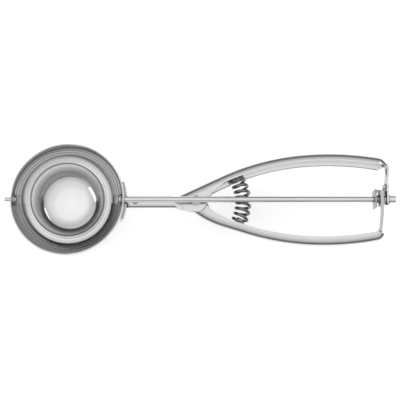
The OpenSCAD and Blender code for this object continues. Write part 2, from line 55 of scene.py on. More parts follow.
SPRING_RADIUS, SPRING_DIAMETER, SPRING_WIRE = 25.0, 9.2, 1.7
SPRING_TOP, SPRING_BOTTOM, SPRING_TURNS, PEG_RADIUS = 34.0, -28.0, 8, 1.9
RACK_RADIUS, RACK_THICKNESS, PINION_RADIUS, PINION_WIDTH = 99.0, 1.6, 3.2, 2.8
BRACKET_THICKNESS, STRAP_THICKNESS, STRAP_END_RADIUS, STRAP_BEND = 0.8, 1.0, 3.2, 8.5
WASHER_THICKNESS, NUT_LENGTH = 0.5, 3.1
SEAM, END_GAP, OVERLAP = 0.02, 0.3, 0.1

# Places along the rod, from the bowl's centre
PIVOT_X = BOWL_RADIUS + NECK_LENGTH
PIVOT_DROP = ROD_RADIUS + ROD_GAP + RIVET_HEAD_HEIGHT + FIXED_WIDTH / 2
LEAN = math.asin(PIVOT_DROP / RACK_RADIUS)
RACK_X = PIVOT_X + RACK_RADIUS * math.cos(LEAN) - PINION_RADIUS * math.tan(LEAN)
PINION_BACK = RACK_X - RACK_THICKNESS / 2 - OVERLAP + PINION_WIDTH
STRAP_FRONT = PINION_BACK + END_GAP + BRACKET_THICKNESS
NUT_BACK = STRAP_FRONT + STRAP_THICKNESS + END_GAP + WASHER_THICKNESS + NUT_LENGTH
MIDDLE_X = (NUT_BACK - BOWL_RADIUS - FRONT_PIN_REACH) / 2

# The photo's camera
TILT = math.radians(12.0)
DISTANCE, LOOK_X, LOOK_DROP = 426.0, 71.06, 0.3
BACK = Vector((0, -math.sin(TILT), math.cos(TILT)))
UP = Vector((0, math.cos(TILT), math.sin(TILT)))
TO_CAMERA = (Vector((LOOK_X, 0, 0)) + BACK * DISTANCE).normalized()


def here(x, y, z):
    """A place given from the bowl's centre as a point of the scene."""
    return Vector(((x - MIDDLE_X) * MM, y * MM, (z + BOWL_RADIUS) * MM))


def from_pivot(x, y, z):
    """A place given in the handles' leaning frame, from their pivot, as a point of the scene."""
    c, s = math.cos(LEAN), math.sin(LEAN)
    return here(PIVOT_X + x * c - z * s, y, -PIVOT_DROP + x * s + z * c)


# ---------------------------------------------------------------- shader tools
def cleared(owner):
    """The empty node tree of a material or a world."""
    owner.use_nodes = True
    owner.node_tree.nodes.clear()
    return owner.node_tree


def add_node(tree, kind, inputs, **settings):
    """A shader node. Each input is a value, or the socket that feeds it."""
    made = tree.nodes.new("ShaderNode" + kind)
    for key, value in settings.items():
        setattr(made, key, value)
    for key, value in inputs.items():
        if isinstance(value, bpy.types.NodeSocket):
            tree.links.new(value, made.inputs[key])
        else:
            made.inputs[key].default_value = value
    return made


def math_node(tree, operation, first, second):
    return add_node(tree, "Math", {0: first, 1: second}, operation=operation).outputs["Value"]


def map_range(tree, value, low, high, to_low=0.0, to_high=1.0):
    inputs = {"Value": value, "From Min": low, "From Max": high, "To Min": to_low, "To Max": to_high}
    return add_node(tree, "MapRange", inputs).outputs["Result"]


def multiplied(tree, colour, shade, factor=1.0):
    inputs = {"Factor": factor, "A": colour, "B": shade}
    return add_node(tree, "Mix", inputs, data_type="RGBA", blend_type="MULTIPLY").outputs["Result"]


def grey(value):
    return (value, value, value)


def add_ramp(tree, value, stops, interpolation="LINEAR"):
    """A colour ramp from (position, colour) stops."""
    ramp = add_node(tree, "ValToRGB", {"Fac": value})
    ramp.color_ramp.interpolation = interpolation
    elements = ramp.color_ramp.elements
    while len(elements) < len(stops):
        elements.new(0.5)
    for element, (position, colour) in zip(elements, stops):
        element.position = position
        element.color = (*colour, 1)
    return ramp.outputs["Color"]


def shiny_ray(tree, path):
    """1 for a ray that metal or glass sends on."""
    return math_node(tree, "MAXIMUM", path.outputs["Is Glossy Ray"], path.outputs["Is Transmission Ray"])


# ---------------------------------------------------------------- steel
RECESS_REACH, RECESS_SAMPLES = 2.5, 8
RELIEF_DEPTH = 0.2
BROAD_SCALE, BROAD_SHARE = 55.0, 0.45
# The mixed noise, and the light that reaches a recess, lie between these.
NOISE = (0.3, 0.7)
OPEN_TO_SKY = (0.3, 0.95)
# How far down a face may look and still have its normal tipped, from not at all to in full
TIPPED = (-0.7, -0.2)
# How deep under its outer face the bowl's inside begins, and how far its axis goes past the centre
BOWL_SKIN, PAST_CENTRE = 0.4, 3.0


def recess_shade(tree, painted_shade):
    """Painted shade: darkens the colour of what lies close to other surfaces."""
    hollow = add_node(tree, "AmbientOcclusion", {"Distance": RECESS_REACH * MM}, samples=RECESS_SAMPLES)
    return map_range(tree, hollow.outputs["AO"], *OPEN_TO_SKY, 1.0 - painted_shade)


def hoop_shade(tree, place, hoops):
    """Painted reflection: light and dark grey hoops about the bowl's centre, from (radius, grey) stops."""
    inner, outer = hoops[0][0], hoops[-1][0]
    away = add_node(tree, "VectorMath", {0: place, 1: here(0, 0, 0)}, operation="DISTANCE")
    across = map_range(tree, away.outputs["Value"], inner * MM, outer * MM)
    return add_ramp(tree, across, [((r - inner) / (outer - inner), grey(tone)) for r, tone in hoops])


def leant_normal(tree, lean):
    """The face's normal tipped towards the sky, except on faces that look well down."""
    normal = add_node(tree, "NewGeometry", {}).outputs["Normal"]
    slope = add_node(tree, "SeparateXYZ", {"Vector": normal}).outputs["Z"]
    upward = add_node(tree, "CombineXYZ", {"Z": map_range(tree, slope, *TIPPED, 0.0, lean)})
    leant = add_node(tree, "VectorMath", {0: normal, 1: upward.outputs["Vector"]})
    unit = add_node(tree, "VectorMath", {0: leant.outputs["Vector"]}, operation="NORMALIZE")
    return unit.outputs["Vector"]


def ring_shade(tree, from_centre, axis, stops):
    """Greys on the bowl's inside, from (angle from the axis's lower pole, grey) stops."""
    along = add_node(tree, "VectorMath", {0: from_centre, 1: axis}, operation="DOT_PRODUCT")
    share = map_range(tree, along.outputs["Value"], -BOWL_RADIUS * MM, PAST_CENTRE * MM)
    span = BOWL_RADIUS + PAST_CENTRE
    heights = [(BOWL_RADIUS * (1 - math.cos(math.radians(angle))) / span, tone) for angle, tone in stops]
    return add_ramp(tree, share, [(height, grey(tone)) for height, tone in heights])


def ringed(tree, place, metal, colour, relief, lines, rub):
    """The bowl's painted reflection rings, and the duller band where the blade rubs, on its inside only."""
    offset = add_node(tree, "VectorMath", {0: place, 1: here(0, 0, 0)}, operation="SUBTRACT")
    from_centre = offset.outputs["Vector"]
    away = add_node(tree, "VectorMath", {0: from_centre}, operation="LENGTH").outputs["Value"]
    inside = math_node(tree, "LESS_THAN", away, (BOWL_RADIUS - BOWL_SKIN) * MM)
    # Painted reflection: grey rings multiplied into the colour of the bowl's inside.
    toned = multiplied(tree, colour, ring_shade(tree, from_centre, *lines), inside)
    tree.links.new(toned, metal.inputs["Base Color"])
    dull = {"Metallic": 0.15, "Roughness": 0.22, "Base Color": toned, "Normal": relief}
    rubbed = add_node(tree, "BsdfPrincipled", dull)
    share = math_node(tree, "MULTIPLY", ring_shade(tree, from_centre, *rub), inside)
    both = add_node(tree, "MixShader", {"Fac": share, 1: metal.outputs["BSDF"], 2: rubbed.outputs["BSDF"]})
    return both.outputs["Shader"]


def steel(name, tone, rough, grain, scale, bump, spread=0.05, painted_shade=0.0, lean=0.0, hoops=(), rings=()):
    """Stainless steel, with its tone and its roughness (from, to) varied by two noises.

    grain stretches the fine noise along each axis, bump is the strength of its relief, the recess
    strength paints shade into the colour of the recesses, and lean tips the shading normals towards
    the sky. The hoops are painted reflection lines on the blade, and the rings are the bowl's painted
    reflection rings and the duller band where the blade rubs.
    """
    material = bpy.data.materials.new(name)
    tree = cleared(material)
    place = add_node(tree, "TexCoord", {}).outputs["Object"]
    stretched = add_node(tree, "Mapping", {"Vector": place, "Scale": grain}).outputs["Vector"]
    fine = add_node(tree, "TexNoise", {"Vector": stretched, "Scale": scale, "Detail": 6.0}).outputs["Fac"]
    broad = add_node(tree, "TexNoise", {"Vector": place, "Scale": BROAD_SCALE, "Detail": 3.0}).outputs["Fac"]
    noise = {"Factor": BROAD_SHARE, "A": fine, "B": broad}
    mixed = add_node(tree, "Mix", noise, data_type="FLOAT").outputs["Result"]

    low, high = tone - spread, tone + spread
    tones = [(low, low, low * 1.01), (high, high, high * 1.005)]
    colour = add_ramp(tree, mixed, list(zip(NOISE, tones)))
    # Painted shade: the colour is darkened where other surfaces lie close.
    if painted_shade:
        colour = multiplied(tree, colour, recess_shade(tree, painted_shade))
    # Painted reflection: light and dark hoops multiplied into the blade's colour.
    if hoops:
        colour = multiplied(tree, colour, hoop_shade(tree, place, hoops))
    bumps = {"Strength": bump, "Distance": RELIEF_DEPTH * MM, "Height": fine}
    if lean:
        bumps["Normal"] = leant_normal(tree, lean)
    relief = add_node(tree, "Bump", bumps).outputs["Normal"]
    finish = {
        "Metallic": 1.0,
        "Base Color": colour,
        "Roughness": map_range(tree, mixed, *NOISE, *rough),
        "Normal": relief,
    }
    metal = add_node(tree, "BsdfPrincipled", finish)
    surface = metal.outputs["BSDF"]
    # Painted reflection rings on the bowl's inside, with the duller band where the blade rubs.
    if rings:
        surface = ringed(tree, place, metal, colour, relief, *rings)
    add_node(tree, "OutputMaterial", {"Surface": surface})
    return material


# Painted reflection: dark and light grey rings about the axis towards the camera, where the bowl's mirror
# shows bands, as (angle from the axis's lower pole, grey) stops.
PAINTED_REFLECTION_RINGS = (TO_CAMERA, [
    (0, 1.0), (25, 1.0), (33, 0.72), (38, 0.95), (43, 1.05), (45, 0.3), (47, 1.1), (54, 1.1),
    (57, 0.4), (59, 0.6), (61, 1.15), (64, 0.6), (67, 1.15), (70, 0.55), (72, 1.05), (75, 0.5),
    (78, 1.15), (81, 0.45), (84, 1.1), (87, 0.5), (92, 1.0),
])
RUB = ((0.0, 0.0, 1.0), [(0, 0.0), (52, 0.0), (60, 0.5), (72, 0.85), (92, 0.85)])
# Painted reflection: light and dark hoops on the blade, as (radius from the bowl's centre, grey) stops.
BLADE_REFLECTION_HOOPS = [
    (24.5, 1.3), (25.2, 0.5), (25.8, 1.4), (26.5, 0.55), (27.1, 1.5), (27.8, 0.55), (28.4, 1.5),
    (29.1, 0.6), (29.7, 1.7), (30.5, 0.9),
]
EVEN, ALONG, ACROSS, UPRIGHT = (1, 1, 1), (0.05, 1, 1), (1, 0.25, 1), (1, 1, 0.3)

# The bowl's rings and the blade's hoops are painted reflections; each steel's recess strength paints shade
# into its colour near other surfaces.
bowl_steel = steel(
    "bowl_steel", 0.8, (0.04, 0.09), (1, 1, 0.4), 500, 0.008, spread=0.03, rings=(PAINTED_REFLECTION_RINGS, RUB)
)
handle_steel = steel(
    "handle_steel", 0.66, (0.12, 0.2), (0.12, 1, 1), 900, 0.03, spread=0.03, painted_shade=0.45, lean=0.45
)
rod_steel = steel("rod_steel", 0.66, (0.12, 0.2), ALONG, 1400, 0.04, spread=0.04, painted_shade=0.3)
plate_steel = steel("plate_steel", 0.56, (0.2, 0.3), ACROSS, 1100, 0.05, painted_shade=0.5)
bracket_steel = steel("bracket_steel", 0.36, (0.22, 0.32), ACROSS, 1100, 0.05, painted_shade=0.5)
blade_steel = steel("blade_steel", 0.34, (0.26, 0.36), UPRIGHT, 1100, 0.04, painted_shade=0.4, hoops=BLADE_REFLECTION_HOOPS)
rivet_steel = steel("rivet_steel", 0.58, (0.2, 0.3), EVEN, 1300, 0.06, painted_shade=0.4)
wire_steel = steel("wire_steel", 0.24, (0.2, 0.3), EVEN, 1500, 0.06, painted_shade=0.5)
tooth_steel = steel("tooth_steel", 0.5, (0.24, 0.34), UPRIGHT, 1300, 0.05, painted_shade=0.5)

MATERIALS = {
    "bowl": bowl_steel,
    "saddle_plate": plate_steel,
    "fixed_handle": handle_steel,
    "lever_handle": handle_steel,
    "guide_bracket": bracket_steel,
    "pivot_washer": plate_steel,
    "end_washer": plate_steel,
    "wiper_blade": blade_steel,
    "rack": tooth_steel,
    "pinion": tooth_steel,
    "rod": rod_steel,
    "front_pin": rod_steel,
    "end_nut": rod_steel,
    "pivot_sleeve": rod_steel,
    "shank_rivet": rivet_steel,
    "pivot_rivet": rivet_steel,
    "bracket_rivets": rivet_steel,
    "rack_rivets": rivet_steel,
    "pinion_pin": rivet_steel,
    "return_spring": wire_steel,
}
for name, cad_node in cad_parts.items():
    cad_node.data.materials.clear()
    cad_node.data.materials.append(MATERIALS[name])


# ---------------------------------------------------------------- mesh tools
BEVEL_SEGMENTS, BEVEL_ANGLE = 2, 50.0
TINY = 1e-6


def add(name, verts, faces, node, body, smooth_angle=35.0):
    """A piece that stands for a CAD node: it hides that node, takes its material and rides with its body."""
    mesh = bpy.data.meshes.new(name)
    mesh.from_pydata([tuple(v) for v in verts], [], faces)
    mesh.update()
    obj = bpy.data.objects.new(name, mesh)
    bpy.context.scene.collection.objects.link(obj)
    mesh.materials.append(MATERIALS[node])
    mesh.shade_smooth()
    mesh.set_sharp_from_angle(angle=math.radians(smooth_angle))
    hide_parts(node)
    if body:
        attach(obj, body)
    return obj


def grid_faces(rows, cols, closed=False):
    """Faces between rows of points; closed joins each row's end to its start."""
    wrap = cols if closed else cols - 1
    return [
        (r * cols + c, r * cols + (c + 1) % cols, (r + 1) * cols + (c + 1) % cols, (r + 1) * cols + c)
        for r in range(rows - 1)
        for c in range(wrap)
    ]


def face_out(obj, sample, outward):
    """Turns the faces round if the one nearest to sample doesn't face outward."""
    mesh = obj.data
    near = min(mesh.polygons, key=lambda p: (p.center - sample).length)
    if near.normal.dot(outward) < 0:
        mesh.flip_normals()


def bevel(obj, width):
    mod = obj.modifiers.new("edge", "BEVEL")
    mod.width = width * MM
    mod.segments = BEVEL_SEGMENTS
    mod.limit_method = "ANGLE"
    mod.angle_limit = math.radians(BEVEL_ANGLE)
    mod.harden_normals = False


def sheeted(obj, thickness):
    """Gives a surface the sheet's thickness, inwards from its face."""
    mod = obj.modifiers.new("sheet", "SOLIDIFY")
    mod.thickness = thickness * MM
    mod.offset = -1.0
    mod.use_even_offset = True
    mod.use_rim = True


def lathe(profile, around, place):
    """Turns (radius, height) points; a radius of 0 is a pole."""
    circle = [(math.cos(2 * math.pi * k / around), math.sin(2 * math.pi * k / around)) for k in range(around)]
    verts, faces, rings = [], [], []
    for radius, height in profile:
        if radius < TINY:
            rings.append([len(verts)])
            verts.append(place(0.0, 0.0, height))
        else:
            rings.append([len(verts) + k for k in range(around)])
            verts += [place(radius * c, radius * s, height) for c, s in circle]
    for low, high in zip(rings, rings[1:]):
        for k in range(around):
            n = (k + 1) % around
            if len(low) == 1:
                faces.append((low[0], high[n], high[k]))
            elif len(high) == 1:
                faces.append((low[k], low[n], high[0]))
            else:
                faces.append((low[k], low[n], high[n], high[k]))
    return verts, faces


def hermite(start, leaving, end, arriving, u):
    """A point of the smooth curve from start to end, with its direction given at each."""
    return (
        start * (2 * u ** 3 - 3 * u ** 2 + 1)
        + leaving * (u ** 3 - 2 * u ** 2 + u)
        + end * (3 * u ** 2 - 2 * u ** 3)
        + arriving * (u ** 3 - u ** 2)
    )


# ---------------------------------------------------------------- bowl
BOWL_AROUND, BOWL_STEPS, LIP_STEPS = 288, 110, 8


def bowl_profile():
    """From the pole outside, round the lip, to the pole inside: (radius, height)."""
    lip_radius = BOWL_WALL / 2
    inner = BOWL_RADIUS - BOWL_WALL
    middle = (BOWL_RADIUS + inner) / 2
    top = math.asin((RIM_HEIGHT - lip_radius) / middle)
    climbs = [-math.pi / 2 + (top + math.pi / 2) * i / BOWL_STEPS for i in range(BOWL_STEPS + 1)]
    outside = [(BOWL_RADIUS * math.cos(a), BOWL_RADIUS * math.sin(a)) for a in climbs]
    inside = [(inner * math.cos(a), inner * math.sin(a)) for a in climbs]
    turns = [top + math.pi * i / LIP_STEPS for i in range(1, LIP_STEPS)]
    x, y = middle * math.cos(top), middle * math.sin(top)
    lip = [(x + lip_radius * math.cos(a), y + lip_radius * math.sin(a)) for a in turns]
    return outside + lip + inside[::-1]


def bowl_shell():
    verts, faces = lathe(bowl_profile(), BOWL_AROUND, here)
    shell = add("bowl_shell", verts, faces, "bowl", "frame", 60.0)
    face_out(shell, here(0, 0, -BOWL_RADIUS), Vector((0, 0, -1)))


bowl_shell()

# ---------------------------------------------------------------- handles
# A handle's crown line is a run of bends and straights: (radius, angle, length) each, with a
# radius of 0 for a straight. It starts at (x, y, heading) from the pivot.
# Its last long bend ends short of the rack's radius, and a corner follows.
SHEET_EDGE, STEP, FEWEST_STEPS = 0.16, 0.9, 8
CORNER_TURN = 60.0
FIXED_START, FIXED_BENDS = (-12.3, 3.04, 24.2), [(0, 0, 27.8), (129.5, 20.0, 0)]
FIXED_BOW, FIXED_TAIL, FIXED_CORNER = 15.45, 0.483, FIXED_DEPTH + 0.6
LEVER_START, LEVER_BENDS = (-1.38, 5.9, 37.15), [(50.9, 19.05, 0), (0, 0, 13.9), (135.3, 13.6, 0)]
LEVER_BOW, LEVER_TAIL, LEVER_CORNER = 14.6, 2.75, LEVER_DEPTH + 0.5
LEVER_WIDTH = FIXED_WIDTH - 2 * SHEET - 2 * CHEEK_GAP
# The fixed handle's cheeks reach deeper from the place where its shell starts to here.
NECK_AT, CHEEKS_END = 1.9, 13.0
FRONT_OUTLINE = [(8.8, 4.6), (BOSS_RADIUS, 0.0), (0.0, 0.0), (-1.6, -6.0), (-4.6, -6.0), (-9.0, -4.3)]
BACK_OUTLINE = [(7.6, 6.2), (BACK_BOSS_RADIUS, 0.0), (0.0, 0.0), (-1.0, -4.0), (-4.4, -3.8), (-9.0, -1.5)]


def ahead_of(place, length):
    x, y, heading = place
    h = math.radians(heading)
    return (x + length * math.cos(h), y + length * math.sin(h), heading)


def bent_from(place, radius, turn):
    x, y, heading = place
    h, new = math.radians(heading), math.radians(heading - turn)
    return (
        x + radius * (math.sin(h) - math.sin(new)),
        y + radius * (math.cos(new) - math.cos(h)),
        heading - turn,
    )


def stations(start, run, first=0.0):
    """Places (x, y, heading) along a crown line; first leaves out so much of its start."""
    places = [start]
    for radius, angle, length in run:
        corner = places[-1]
        if radius == 0:
            count = max(1, round(length / STEP))
            places += [ahead_of(corner, length * (i + 1) / count) for i in range(count)]
        else:
            count = max(FEWEST_STEPS, round(radius * math.radians(angle) / STEP))
            places += [bent_from(corner, radius, angle * (i + 1) / count) for i in range(count)]
    if first:
        begin = ahead_of(start, first)
        places = [begin] + [p for p in places if p[0] > begin[0] + 0.05]
    return places


def to_tail(start, bends, bow, reach, corner):
    """Adds the last long bend, which ends at the given reach from the pivot, and the corner."""
    x, _, heading = stations(start, bends)[-1]
    turned = math.sin(math.radians(heading)) - math.sin(math.radians(heading - bow))
    return bends + [((reach - x) / turned, bow, 0), (corner, CORNER_TURN, 0)]


def turned_back(x, y):
    """A place from the pivot in the frame of the fixed handle's straight: (along, across)."""
    h = math.radians(FIXED_START[2])
    return (x * math.cos(h) + y * math.sin(h), -x * math.sin(h) + y * math.cos(h))


def low_edge(outline, boss, s):
    """The cheek's lower edge at s along the straight."""
    h = math.radians(FIXED_START[2])
    corner_x, corner_y, _ = ahead_of(FIXED_START, FIXED_BENDS[0][2])
    tip = (corner_x + FIXED_DEPTH * math.sin(h), corner_y - FIXED_DEPTH * math.cos(h))
    turned = [turned_back(x, y) for x, y in [tip] + outline]
    found = []
    for (s0, t0), (s1, t1) in zip(turned, turned[1:]):
        if min(s0, s1) <= s <= max(s0, s1) and abs(s1 - s0) > TINY:
            found.append(t0 + (t1 - t0) * (s - s0) / (s1 - s0))
    if abs(s) < boss:
        found.append(-math.sqrt(boss * boss - s * s))
    return min(found)


def fixed_depths(place):
    """How far the front and the back cheek reach below the crown."""
    x, y, heading = place
    if heading < FIXED_START[2] - TINY or x > CHEEKS_END:
        return FIXED_DEPTH, FIXED_DEPTH
    s, t = turned_back(x, y)
    return t - low_edge(FRONT_OUTLINE, BOSS_RADIUS, s), t - low_edge(BACK_OUTLINE, BACK_BOSS_RADIUS, s)


def lever_depths(place):
    return LEVER_DEPTH, LEVER_DEPTH


def section(width, crown, front, back, straights=6, arcs=28):
    """A channel's outside, from the front cheek's edge over the crown: (below the crown, z)."""
    widest = math.asin(width / 2 / crown)
    side = crown - crown * math.cos(widest)
    out = [(front + (side - front) * i / straights, width / 2) for i in range(straights)]
    for i in range(arcs + 1):
        a = widest - 2 * widest * i / arcs
        out.append((crown - crown * math.cos(a), crown * math.sin(a)))
    out += [(side + (back - side) * (i + 1) / straights, -width / 2) for i in range(straights)]
    return out


def on_station(place, below, z, mirror=False):
    x, y, heading = place
    h = math.radians(heading)
    x, y = x + below * math.sin(h), y - below * math.cos(h)
    return from_pivot(x, -y if mirror else y, z)


def channel(name, node, body, places, width, crown, depths, mirror=False):
    """A handle's bent sheet: its section at each place, with the sheet's thickness."""
    rings = [section(width, crown, *depths(place)) for place in places]
    verts = [on_station(p, below, z, mirror) for p, ring in zip(places, rings) for below, z in ring]
    obj = add(name, verts, grid_faces(len(places), len(rings[0])), node, body)
    middle = places[len(places) // 2]
    h = math.radians(middle[2])
    outward = Vector((-math.sin(h), -math.cos(h) if mirror else math.cos(h), 0))
    face_out(obj, on_station(middle, 0, 0, mirror), outward)
    sheeted(obj, SHEET)
    bevel(obj, SHEET_EDGE)


fixed_run = to_tail(FIXED_START, FIXED_BENDS, FIXED_BOW, RACK_RADIUS - FIXED_TAIL, FIXED_CORNER)
lever_run = to_tail(LEVER_START, LEVER_BENDS, LEVER_BOW, RACK_RADIUS - LEVER_TAIL, LEVER_CORNER)
fixed_places = stations(FIXED_START, fixed_run, NECK_AT)
lever_places = stations(LEVER_START, lever_run)
channel(
    "fixed_handle_shell", "fixed_handle", "frame", fixed_places, FIXED_WIDTH, FIXED_CROWN, fixed_depths
)
channel(
    "lever_shell", "lever_handle", "lever", lever_places, LEVER_WIDTH, LEVER_CROWN, lever_depths, True
)

# ---------------------------------------------------------------- shank
FLARE_START = PIVOT_X - 13.7
SADDLE_FACE = BOWL_RADIUS + SADDLE_WALL + 2 * SEAM
PAST_SADDLE = 32.5
AROUND, SHANK_STEPS, FLARE_STEPS = 96, 12, 14


def resample(points, count):
    """A closed outline at count even steps of its length, from its first point."""
    closed = points + [points[0]]
    spans = [math.dist(a, b) for a, b in zip(closed, closed[1:])]
    total, out = sum(spans), []
    for k in range(count):
        want, i = total * k / count, 0
        while want > spans[i]:
            want -= spans[i]
            i += 1
        f = want / spans[i] if spans[i] else 0
        out.append(tuple(a + (b - a) * f for a, b in zip(closed[i], closed[i + 1])))
    return out


def shank_circle():
    turns = [2 * math.pi * k / AROUND for k in range(AROUND)]
    return [(SHANK_RADIUS * math.cos(a), SHANK_RADIUS * math.sin(a) - SHANK_DEPTH) for a in turns]


def shank_tube():
    """A tube that seats on the saddle plate and opens into the fixed handle's section."""
    neck = fixed_places[0]
    ring = section(FIXED_WIDTH, FIXED_CROWN, *fixed_depths(neck))
    top = len(ring) // 2
    ring = ring[top::-1] + ring[:top:-1]
    wide = [on_station(neck, below, z) for below, z in resample(ring, AROUND)]
    circle = shank_circle()
    rings = [[here(math.sqrt(SADDLE_FACE ** 2 - y * y - z * z), y, z) for y, z in circle]]
    for i in range(SHANK_STEPS + 1):
        x = PAST_SADDLE + i * (FLARE_START - PAST_SADDLE) / SHANK_STEPS
        rings.append([here(x, y, z) for y, z in circle])
    heading = (from_pivot(*ahead_of((0, 0, FIXED_START[2]), 1)[:2], 0) - from_pivot(0, 0, 0)) / MM
    for i in range(1, FLARE_STEPS + 1):
        row = []
        for (y, z), end in zip(circle, wide):
            start = here(FLARE_START, y, z)
            span = max((end - start).length, 2 * MM)
            row.append(hermite(start, Vector((span, 0, 0)), end, heading * span, i / FLARE_STEPS))
        rings.append(row)
    verts = [p for row in rings for p in row]
    tube = add("shank_tube", verts, grid_faces(len(rings), AROUND, True), "fixed_handle", "frame", 50.0)
    middle = (PAST_SADDLE + FLARE_START) / 2
    face_out(tube, here(middle, SHANK_RADIUS, -SHANK_DEPTH), Vector((0, 1, 0)))
    sheeted(tube, SHEET)


shank_tube()

# ---------------------------------------------------------------- tail strap
STRAP_MIDDLE = STRAP_FRONT + STRAP_THICKNESS / 2
STRAP_ROOT, STRAP_END_TURN = 3.0, math.radians(84)
STRAP_STEPS, STRAP_STRAIGHTS, STRAP_COLS = 12, 8, 13


def strap_rows():
    """The strap's middle line with its half width: a bend, a straight and a round end."""
    x, y, heading = fixed_places[-1]
    h = math.radians(heading)
    x, y = x + SHEET / 2 * math.sin(h), y - SHEET / 2 * math.cos(h)
    start = from_pivot(x, y, 0)
    leaving = (from_pivot(x + math.cos(h), y + math.sin(h), 0) - start) / MM
    end = here(STRAP_MIDDLE, STRAP_BEND, 0)
    span = (end - start).length
    rows = []
    for i in range(STRAP_STEPS + 1):
        u = i / STRAP_STEPS
        place = hermite(start, leaving * span, end, Vector((0, -span, 0)), u)
        rows.append((place, STRAP_ROOT + (STRAP_END_RADIUS - STRAP_ROOT) * u))
    for i in range(1, STRAP_STRAIGHTS + 1):
        rows.append((here(STRAP_MIDDLE, STRAP_BEND * (1 - i / STRAP_STRAIGHTS), 0), STRAP_END_RADIUS))
    for i in range(1, STRAP_STEPS + 1):
        a = STRAP_END_TURN * i / STRAP_STEPS
        place = here(STRAP_MIDDLE, -STRAP_END_RADIUS * math.sin(a), 0)
        rows.append((place, STRAP_END_RADIUS * math.cos(a)))
    return rows


def tail_strap():
    """The strap at the fixed handle's tail, which carries the rod's end."""
    rows = strap_rows()
    shares = [2 * c / (STRAP_COLS - 1) - 1 for c in range(STRAP_COLS)]
    verts = [middle + Vector((0, 0, half * MM * share)) for middle, half in rows for share in shares]
    strap = add("tail_strap", verts, grid_faces(len(rows), STRAP_COLS), "fixed_handle", "frame")
    mod = strap.modifiers.new("plate", "SOLIDIFY")
    mod.thickness = (STRAP_THICKNESS - 2 * SEAM) * MM
    mod.offset = 0.0
    bevel(strap, SHEET_EDGE)


tail_strap()

# ---------------------------------------------------------------- lugs
LUG_INSET, LUG_EDGE = 0.01, 0.14
LUG_OUTLINE = [
    (1.9, 3.6), (2.9, 4.0), (5.4, 5.45), (8.0, 6.9), (10.8, 8.2), (13.6, 9.32), (17.0, 10.5),
    (20.0, 11.46), (14.4, 8.8), (9.6, 6.2), (7.2, 4.2), (6.2, 1.6), (LUG_RADIUS, -0.5),
]


def lever_lug(side, facing):
    """A flat plate that carries the lever round the pivot, flush with its cheek."""
    turns = [math.radians(a) for a in range(-12, -300, -8)]
    outline = LUG_OUTLINE + [(LUG_RADIUS * math.cos(a), LUG_RADIUS * math.sin(a)) for a in turns]
    z = facing * (LEVER_WIDTH / 2 - LUG_INSET)
    verts = [from_pivot(x, -y, z) for x, y in outline]
    plate = add("lever_lug_" + side, verts, [tuple(range(len(verts)))], "lever_handle", "lever")
    face_out(plate, from_pivot(0, 0, z), Vector((0, 0, facing)))
    sheeted(plate, SHEET)
    bevel(plate, LUG_EDGE)


lever_lug("front", 1)
lever_lug("back", -1)

# ---------------------------------------------------------------- spring and its pegs
COIL_RADIUS = (SPRING_DIAMETER - SPRING_WIRE) / 2
PER_TURN, WIRE_SIDES, END_SHARE, SLOPE_STEP = 40, 16, 0.8, 0.005
# How far a peg stands inwards and outwards of the spring's line, and its rounded tip
PEG_INSIDE, FIXED_PEG, LEVER_PEG = 3.0, 3.0, 4.1
PEG_TIP, PEG_SHOULDER, PEG_AROUND = 0.5, 0.15, 40


def peg(name, node, body, angle, reach, mirror=False):
    """A stud inside a handle's crown that holds one end of the spring."""
    c, s = math.cos(math.radians(angle)), math.sin(math.radians(angle))

    def place(u, v, w):
        x, y = (SPRING_RADIUS + u) * c - w * s, (SPRING_RADIUS + u) * s + w * c
        return from_pivot(x, -y if mirror else y, v)

    profile = [
        (0, -PEG_INSIDE),
        (PEG_RADIUS - PEG_TIP, -PEG_INSIDE),
        (PEG_RADIUS - PEG_SHOULDER, -PEG_INSIDE + PEG_SHOULDER),
        (PEG_RADIUS, -PEG_INSIDE + PEG_TIP),
        (PEG_RADIUS, reach),
        (0, reach),
    ]
    verts, faces = lathe(profile, PEG_AROUND, place)
    obj = add(name, verts, faces, node, body)
    face_out(obj, place(PEG_RADIUS, 0, 0), place(PEG_RADIUS, 0, 0) - place(0, 0, 0))


def coil_angle(turn):
    return math.radians(SPRING_BOTTOM + (SPRING_TOP - SPRING_BOTTOM) * turn / SPRING_TURNS)


def coil(turn):
    """A point of the spring's line, which winds round an arc about the pivot."""
    a, round_coil = coil_angle(turn), 2 * math.pi * turn
    r = SPRING_RADIUS + COIL_RADIUS * math.cos(round_coil)
    return Vector((r * math.cos(a), r * math.sin(a), COIL_RADIUS * math.sin(round_coil)))


def coil_frame(turn):
    """The line's point, and the directions along it, aside and outward there."""
    a, round_coil = coil_angle(turn), 2 * math.pi * turn
    along = (coil(turn + SLOPE_STEP) - coil(turn - SLOPE_STEP)).normalized()
    c = math.cos(round_coil)
    outward = Vector((c * math.cos(a), c * math.sin(a), math.sin(round_coil)))
    side = along.cross(outward).normalized()
    return coil(turn), along, side, side.cross(along)


def straight_end(coil_end, lengths):
    point, along, side, outward = coil_end
    return [(point + along * SPRING_WIRE * length, along, side, outward) for length in lengths]


def at_angle(angle):
    a = math.radians(angle)
    return from_pivot(SPRING_RADIUS * math.cos(a), SPRING_RADIUS * math.sin(a), 0)


